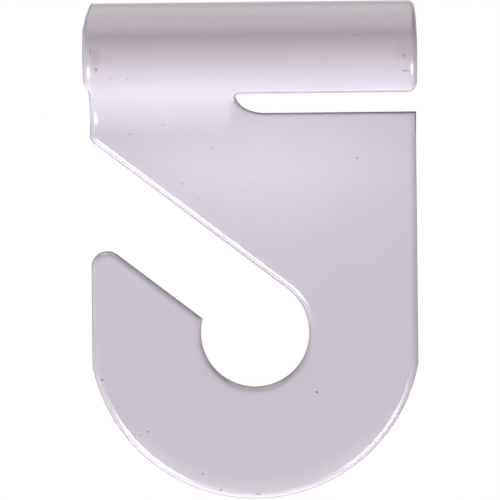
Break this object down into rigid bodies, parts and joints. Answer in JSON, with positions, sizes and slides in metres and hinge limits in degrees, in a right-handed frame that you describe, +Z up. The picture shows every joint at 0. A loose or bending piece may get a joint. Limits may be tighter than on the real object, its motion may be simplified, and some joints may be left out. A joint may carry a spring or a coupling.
{
  "type": "ceiling track hook",
  "caption": "One-piece painted sheet-steel hook: a rolled lip over a side slot hangs on a ceiling track's flange, and an open eye below holds a cord, ring or chain.",
  "frame": {"origin": "level with the lip's bearing face, straight above the eye's centre, mid-thickness in the plate", "axes": "+X along the lip towards the slot's open end, the front faces -Y, +Z up"},
  "size_m": [0.0256, 0.0088, 0.0384],
  "materials": {
    "white_paint": "gloss white enamel with a faint lavender cast over steel"
  },
  "bodies": {
    "root": {"hook": "white_paint"}
  },
  "joints": []
}
